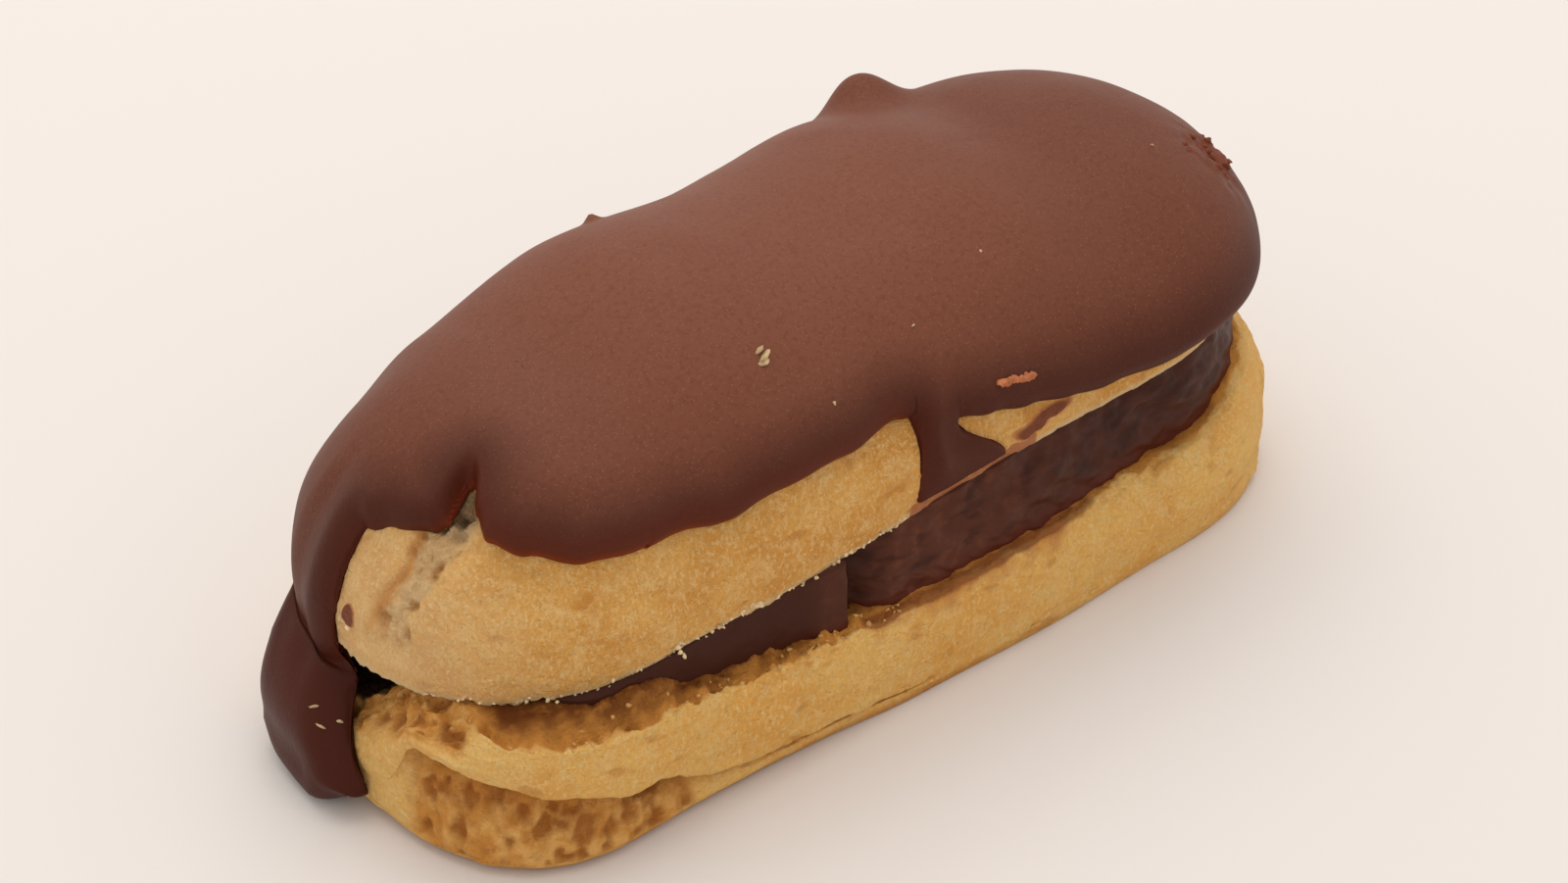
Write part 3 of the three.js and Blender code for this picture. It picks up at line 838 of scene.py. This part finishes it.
def icing():
    """The icing's grid and masks: the bed from the ridge out to the edge, and back over the top."""
    angle = row_angles(OUTER_SHARES)
    bed = icing_bed(TURN[None], angle)
    bed[-1] = dome(TURN, 90 + 0 * TURN, -BED_DEPTH)
    normal = bed_normals(TURN[None], np.minimum(angle, 88))
    normal[-1] = (0, 0, 1)
    away = distance_to_edge(bed)
    thick, broken = icing_thickness(TURN[None], angle, away, bed)
    skin_top = bed + normal * thick[..., None]
    reach = np.linalg.norm(skin_top - np.array(NUB_PLACE), axis=-1)
    nub = NUB_HEIGHT * np.exp(-((reach / NUB_RADIUS) ** 2.4))
    skin_top = skin_top + nub[..., None] * np.array([0.0, 0.3, 0.95])
    skin_top[..., 2] = np.maximum(skin_top[..., 2], TABLE_GAP)
    inner = icing_bed(TURN[None], row_angles(np.linspace(0, 1, INNER_ROWS)[:-1] ** 0.8))
    inner[..., 2] = np.maximum(inner[..., 2], TABLE_GAP)
    inner[0] = dome(TURN, 90 + 0 * TURN, -BED_DEPTH)
    inner[0, :, 2] -= 0.3
    grid = np.concatenate([inner, skin_top])
    none = np.zeros(inner.shape[:2])
    masks = {"edge": away, "broken": broken, "low": ease(-angle, -2, 14)}
    # Painted shade: the icing is darker where its surface turns sideways, away from the window above.
    masks["side"] = 1 - ease(normal[..., 2], 0.25, 0.95)
    # Painted shade: both ends of the icing are darkened, more the further they are from the middle.
    masks["ends"] = ease(np.abs(bed[..., 0] + 2), 8, 26)
    # The reddish edge line is faint at the run, and from the drip to the right end.
    plain = 0.75 * between(TURN, 0.82, 0.92, 0.01) + 0.7 * between(TURN, 0.138, 0.29, 0.01)
    masks["red"] = 1 - plain + 0 * angle
    return grid, {name: np.concatenate([none, mask]) for name, mask in masks.items()}


icing_grid, icing_masks = icing()
icing_piece = skin("Chocolate_icing", icing_grid, icing_masks)

# %% [markdown]
# ## Crumbs and flakes
# The knife left tiny pale flakes along the cut, torn crumbs lie on the ledge, and a few chips
# stuck to the icing. Each is a small ball, squashed, turned and roughened; all of one kind are
# joined in one mesh.


# %% Crumbs and flakes
def ball(subdivisions):
    """Points and triangles of a unit ball made of near-equal triangles."""
    work = bmesh.new()
    bmesh.ops.create_icosphere(work, subdivisions=subdivisions, radius=1)
    points = np.array([v.co[:] for v in work.verts])
    faces = np.array([[v.index for v in f.verts] for f in work.faces])
    work.free()
    return points, faces


def scatter_lumps(name, places, sizes, seed):
    """One mesh of rough lumps: places and half-sizes along three axes, in millimetres."""
    rng = np.random.default_rng(seed)
    points, faces = ball(2)
    count = len(places)
    spin = np.linalg.qr(rng.normal(size=(count, 3, 3)))[0]
    spin = spin * np.sign(np.linalg.det(spin))[:, None, None]
    shape = np.broadcast_to(points, (count, *points.shape))
    own = shape + 9 * np.arange(count)[:, None, None]
    shape = shape * (1 + 0.45 * layered(own, 0.9, seed))[..., None]
    lumps = np.asarray(places)[:, None] + (shape * np.asarray(sizes)[:, None]) @ spin
    joined = faces[None] + len(points) * np.arange(count)[:, None, None]
    return make_mesh(name, lumps.reshape(-1, 3) + ORIGIN, joined.reshape(-1, 3))


def on_grid(grid, turn, row):
    """Points of a piece's grid at the stations next to some turns, in the given rows."""
    station = np.searchsorted(TURN, np.asarray(turn) % 1) % len(TURN)
    return grid[np.asarray(row), station]


FLAKES, CRUMBS = 110, 60
CLUSTER_TURNS = np.repeat([0.0065, 0.046, 0.895], [7, 5, 7])
HIGH_CLUSTER = 12  # the last cluster, from this flake on, sits up the left corner of the cap

rng = np.random.default_rng(5)
edge_row = len(CAP_UNDER) + 3
flake_turn = rng.uniform(-0.075, 0.13, FLAKES)
flakes = on_grid(cap_grid, flake_turn, np.full(FLAKES, edge_row))
flakes = flakes + rng.normal(0, 0.08, flakes.shape)
flakes[:, 2] -= 0.06
flake_size = rng.uniform(0.05, 0.15, (FLAKES, 3))
cluster = on_grid(cap_grid, CLUSTER_TURNS, np.full(len(CLUSTER_TURNS), edge_row))
cluster = cluster + rng.normal(0, 0.25, cluster.shape)
cluster[HIGH_CLUSTER:, 2] += 2.2
flake_places = np.concatenate([flakes, cluster])
flake_sizes = np.concatenate([flake_size, rng.uniform(0.1, 0.24, cluster.shape)])
ledge_row = int(np.searchsorted(BASE_ROWS, 67))
crumb_turn = rng.uniform(-0.08, 0.13, CRUMBS)
crumb_row = ledge_row + rng.integers(-2, 12, CRUMBS)
crumb_places = on_grid(base_grid, crumb_turn, crumb_row)
crumb_places[:, 2] = np.minimum(crumb_places[:, 2], cut_plane(crumb_places[:, 0]) - 0.6)
crumb_sizes = rng.uniform(0.06, 0.18, (CRUMBS, 3))
print(len(flake_places), "flakes and", len(crumb_places), "crumbs")

# %% Chips on the icing
PALE_SPECKS = ((0.205, 56), (0.341, 59), (0.098, 40), (0.155, 48))
RUN_SLIVERS = ((0.8782, -18), (0.8792, -20), (0.8835, -18))
BROKEN_CRUMBS = 22
FIRST_OUTER_ROW = INNER_ROWS - 1
ICING_ANGLES = row_angles(OUTER_SHARES)


def on_icing(turn, angle):
    """Point on the outside of the icing at a turn and an angle up the dome."""
    station = int(np.searchsorted(TURN, turn % 1) % len(TURN))
    row = int(np.argmin(np.abs(ICING_ANGLES[:, station] - angle)))
    return icing_grid[FIRST_OUTER_ROW + row, station]


pale_places = [on_icing(0.0787, 56.4), on_icing(0.0795, 58), on_icing(0.078, 55)]
pale_sizes = [(0.5, 0.42, 0.16), (0.4, 0.3, 0.14), (0.3, 0.26, 0.12)]
for turn, angle in PALE_SPECKS:
    pale_places.append(on_icing(turn, angle))
    pale_sizes.append((0.14, 0.12, 0.06))
for turn, angle in RUN_SLIVERS:
    pale_places.append(on_icing(turn, angle))
    pale_sizes.append((0.36, 0.16, 0.08))
orange_places = [on_icing(0.191 + 0.0014 * i, 25 - 0.2 * i) for i in range(-6, 7)]
orange_sizes = [(0.32, 0.26, 0.2)] * len(orange_places)
broken_turns = rng.normal(BROKEN[0], 0.006, BROKEN_CRUMBS)
broken_angles = rng.normal(BROKEN[1], 6, BROKEN_CRUMBS)
broken_places = [on_icing(turn, angle) for turn, angle in zip(broken_turns, broken_angles)]
broken_sizes = rng.uniform(0.12, 0.34, (BROKEN_CRUMBS, 3))


# %% [markdown]
# ## Finishes
# Baked choux is matt and pale gold, with browner clouds, a fine grain, and pale walls round
# pores where it tore. Painted shade darkens those pores, the torn crumb under the band's lip,
# the ledge under the cap, the torn pocket and the holes of the cap's pit, and painted light
# brightens both ends of the base. The cream is dark, moist and slightly hazy. The icing is milk
# chocolate: satin, with a fine speckle of bubbles, darker near the edge, partly its own colour
# and partly painted shade, where a reddish line shows, and darker and glossier down the run.
# Painted shade also darkens its sides and both ends.


# %% Choux finish
FRECKLE = (206, 128, 48)
SMEAR = (104, 56, 40)
SOFT_GLOSS = 0.15  # little mirror reflection, so that the colours stay deep


def choux_colour(f, crust, warm, pale):
    """Crust with browner clouds, paler mottling, fine grain of both, and freckles."""
    return f.blend(
        crust,
        (f.grain(4.5, 3).step(0.4, 0.62), warm),
        (f.grain(1.3, 3).step(0.48, 0.68) * 0.5, pale),
        (f.grain(0.2, 3, 0.8, (1, 1, 0.6)).step(0.44, 0.6) * 0.6, warm),
        (f.grain(0.26, 3, 0.8, (1, 1, 0.6)).step(0.5, 0.62) * 0.7, pale),
        (f.grain(2.6, 2, stretch=(1, 1, 1.6)).step(0.6, 0.72) * 0.5, FRECKLE),
    )


def choux_relief(f):
    fine = f.relief(f.grain(0.34, 4, 0.8), 0.45)
    return f.relief(f.grain(0.8, 2, stretch=(1, 1, 2)), 0.16, fine)


CAP_CRUST, CAP_WARM, CAP_PALE = (247, 186, 101), (233, 164, 79), (252, 210, 142)


def choux_cap_finish():
    f = Finish("Choux cap crust")
    smear = f.mask("spot")
    colour = f.blend(
        choux_colour(f, CAP_CRUST, CAP_WARM, CAP_PALE),
        (f.mask("pale") * 0.5, (252, 216, 162)),
        (f.mask("crack") * 0.65, (230, 194, 144)),
        (f.mask("seam") * 0.6, (206, 128, 50)),
        (f.mask("rip") * 0.65, (204, 136, 68)),
        (f.mask("notch").step(0.15, 0.7) * 0.7, (196, 166, 130)),
        # Painted shade in the holes of the pit.
        (f.mask("pit").step(0.3, 0.9) * 0.6, (98, 76, 56)),
        (f.mask("cut") * 0.8, (240, 208, 156)),
        (f.mask("stained").step(0.2, 0.8) * 0.85, (190, 112, 74)),
        (smear.step(0.0, 0.5) * 0.7, (206, 122, 78)),
        (smear.step(0.45, 0.95) * 0.85, (122, 52, 36)),
    )
    return f.surface({
        "Base Color": colour, "Roughness": 0.8 - 0.4 * smear, "Normal": choux_relief(f),
        "Specular IOR Level": SOFT_GLOSS,
    })


BASE_CRUST, BASE_WARM, BASE_PALE = (254, 201, 113), (248, 182, 92), (254, 214, 144)


def choux_base_finish():
    f = Finish("Choux base crust")
    crust = choux_colour(f, BASE_CRUST, BASE_WARM, BASE_PALE)
    # Painted light on both ends of the crust.
    crust = f.blend(crust, (f.mask("pale") * 0.25, (254, 214, 140)))
    shelf = f.blend(
        (226, 152, 68),
        # Painted shade deeper in on the ledge, under the cap.
        (f.mask("deep"), (116, 61, 18)),
        (f.grain(0.9, 3).step(0.4, 0.75) * 0.4, (228, 154, 72)),
    )
    crumb = f.blend(
        (226, 154, 72),
        (f.grain(1.2, 3).step(0.35, 0.7), (252, 192, 110)),
        # Painted shade under the band's lip.
        (f.mask("foot") * 0.7, (196, 122, 46)),
        # Painted shade in the pores.
        (f.mask("hollow") * 0.8, (166, 92, 32)),
        (f.mask("ledge"), shelf),
        # Painted shade in the torn pocket under the cap.
        (f.mask("gap"), (52, 32, 18)),
    )
    colour = f.blend(
        crust,
        ((f.mask("crumb") + 0.5 * f.grain(0.8, 3) - 0.25).step(0.2, 0.8), crumb),
        (f.mask("floor") * 0.7, (190, 118, 50)),
        ((f.mask("soak") + 1.6 * f.grain(2.6, 3) - 1.4).step(0.0, 0.6) * 0.7, (204, 122, 54)),
        ((f.mask("stain") * 1.4 + f.grain(1.6, 3) - 0.9).step(0.0, 0.6) * 0.75, (140, 72, 34)),
    )
    return f.surface({
        "Base Color": colour, "Roughness": 0.8, "Normal": choux_relief(f),
        "Specular IOR Level": SOFT_GLOSS,
    })


# %% Cream and icing finishes
def cream_finish():
    f = Finish("Dark pastry cream")
    haze = f.grain(1.6, 4, 0.6).step(0.48, 0.72)
    streak = f.grain(2.4, 3, stretch=(1, 1, 2.4)).step(0.5, 0.68)
    colour = f.blend(
        (64, 32, 21),
        (f.mask("dull") * 0.5, (98, 52, 35)),
        (haze * f.mask("dull") * 0.5, (118, 70, 52)),
        (streak * f.mask("forward") * 0.6, (44, 20, 14)),
        ((1 - f.mask("level")).step(0.6, 0.95), (84, 32, 20)),
    )
    return f.surface({
        "Base Color": colour, "Roughness": 0.4 + 0.2 * haze,
        "Normal": f.relief(f.grain(0.9, 3), 0.06), "Specular IOR Level": 0.1,
    })


# The third colour is painted shade, laid on the icing's sides and at both ends.
ICING_TOP, ICING_DUSK, ICING_PAINTED_SHADE = (123, 72, 52), (119, 68, 49), (84, 42, 28)
ICING_LOW, ICING_LINE = (62, 23, 11), (128, 46, 18)


def icing_finish():
    f = Finish("Milk chocolate icing")
    edge, low = f.mask("edge"), f.mask("low")
    line = (edge * -2.6 + 1.0).step(0.0, 0.8) * 0.35 + (edge * -0.5 + 1.0).step(0.0, 1.0) * 0.25
    colour = f.blend(
        ICING_TOP,
        (f.grain(9, 2).step(0.35, 0.7) * 0.6, ICING_DUSK),
        # Painted shade on the sides of the icing.
        (f.mask("side") * 0.6, ICING_PAINTED_SHADE),
        # Painted shade at both ends of the icing.
        (f.mask("ends") * 0.35, ICING_PAINTED_SHADE),
        (f.grain(0.35, 3, 0.7).step(0.45, 0.7) * 0.22, ICING_LOW),
        ((1 - f.cells(0.24)).step(0.76, 0.95) * 0.4, (170, 122, 94)),
        # Darker within a few millimetres of the edge: partly the thin edge's own colour, partly painted
        # shade.
        ((edge * -0.2 + 1.0).step(0.0, 1.0) * 0.9, ICING_LOW),
        (low * 0.85, (68, 24, 11)),
        ((f.mask("broken") + 1.4 * f.grain(0.8, 3) - 0.7).step(0.4, 0.75) * 0.6, (124, 62, 44)),
        (line * f.mask("red") * (1 - low), ICING_LINE),
    )
    return f.surface({
        "Base Color": colour, "Roughness": 0.46 + 0.1 * f.grain(3, 2) - 0.12 * low,
        "Normal": f.relief(f.grain(0.3, 3, 0.7), 0.03), "Specular IOR Level": 0.12,
    })


# %% Finished pieces
finish_piece(cap_piece, choux_cap_finish(), "choux_upper", "pastry_top")
finish_piece(base_piece, choux_base_finish(), "choux_lower", "pastry_bottom")
finish_piece(cream_piece, cream_finish(), "pastry_cream", "cream")
finish_piece(icing_piece, icing_finish(), "chocolate_icing", "icing")


def crumb_finish(name, colour):
    f = Finish(name)
    normal = f.relief(f.grain(0.2, 3), 0.05)
    mixed = f.blend(colour, (f.grain(0.6, 2).step(0.4, 0.6) * 0.3, SMEAR))
    return f.surface({
        "Base Color": mixed, "Roughness": 0.85, "Normal": normal, "Specular IOR Level": SOFT_GLOSS,
    })


# Name, places, half-sizes, seed, colour and slot of each kind of lump.
LUMPS = [
    ("Pale_flakes", flake_places, flake_sizes, 3, (240, 214, 168), "choux_upper"),
    ("Torn_crumbs", crumb_places, crumb_sizes, 4, (214, 164, 98), "choux_lower"),
    ("Pale_chips", pale_places, pale_sizes, 8, (206, 178, 134), "choux_upper"),
    ("Orange_chip", orange_places, orange_sizes, 9, (196, 120, 78), "choux_upper"),
    ("Icing_crumbs", broken_places, broken_sizes, 10, (122, 66, 46), "chocolate_icing"),
]
for name, places, sizes, seed, colour, slot in LUMPS:
    lumps = scatter_lumps(name, places, sizes, seed)
    finish_piece(lumps, crumb_finish(name.replace("_", " "), colour), slot)

# %% [markdown]
# ## Table, light and camera
# A pale table, a soft room and one large window high behind the eclair. The window is behind,
# so the top is bright, the room and the table light the near side, and the shadow falls forward.

# %% Table and light
TABLE_REACH = 1.5
corners = [(-1, -1), (1, -1), (1, 1), (-1, 1)]
table_mesh = bpy.data.meshes.new("Table")
table_mesh.from_pydata([(x * TABLE_REACH, y * TABLE_REACH, 0) for x, y in corners], [], [(0, 1, 2, 3)])
table = bpy.data.objects.new("Table", table_mesh)
bpy.context.scene.collection.objects.link(table)
paper = Finish("Pale table")
table.data.materials.append(paper.surface({"Base Color": linear(229, 221, 215), "Roughness": 0.9}))

ROOM_COLOUR, ROOM_LIGHT = (1, 0.985, 0.965, 1), 0.86
world = bpy.data.worlds.new("Soft room")
bpy.context.scene.world = world
world.use_nodes = True
world.node_tree.nodes["Background"].inputs["Color"].default_value = ROOM_COLOUR
world.node_tree.nodes["Background"].inputs["Strength"].default_value = ROOM_LIGHT
bpy.context.scene.view_settings.view_transform = "Standard"


def softbox(name, place, size, power, colour):
    """A round lamp that faces the origin, under the middle of the eclair."""
    data = bpy.data.lights.new(name, "AREA")
    data.shape, data.size, data.energy, data.color = "DISK", size, power, colour
    lamp = bpy.data.objects.new(name, data)
    lamp.location = place
    lamp.rotation_euler = (-Vector(place)).to_track_quat("-Z", "Y").to_euler()
    bpy.context.scene.collection.objects.link(lamp)


WINDOW_PLACE, WINDOW_SIZE, WINDOW_POWER = (0.1, 0.23, 0.67), 0.8, 2.2
softbox("Window", WINDOW_PLACE, WINDOW_SIZE, WINDOW_POWER, (1, 0.985, 0.96))

# %% Camera
CAMERA_AIM = np.array([-0.55, -0.96, 12.01])
CAMERA_AWAY, CAMERA_LENS = 186.05, 67.5
CAMERA_TURN, CAMERA_UP = math.radians(-39.73), math.radians(36)
level = np.array([math.sin(CAMERA_TURN), -math.cos(CAMERA_TURN), 0])
back = level * math.cos(CAMERA_UP) + np.array([0, 0, math.sin(CAMERA_UP)])
camera_data = bpy.data.cameras.new("Camera")
camera_data.lens = CAMERA_LENS
camera_data.clip_start, camera_data.clip_end = 0.01, 10
camera = bpy.data.objects.new("Camera", camera_data)
camera.location = Vector((CAMERA_AIM + ORIGIN + back * CAMERA_AWAY) * MM)
camera.rotation_euler = Vector(-back).to_track_quat("-Z", "Y").to_euler()
bpy.context.scene.collection.objects.link(camera)
bpy.context.scene.camera = camera
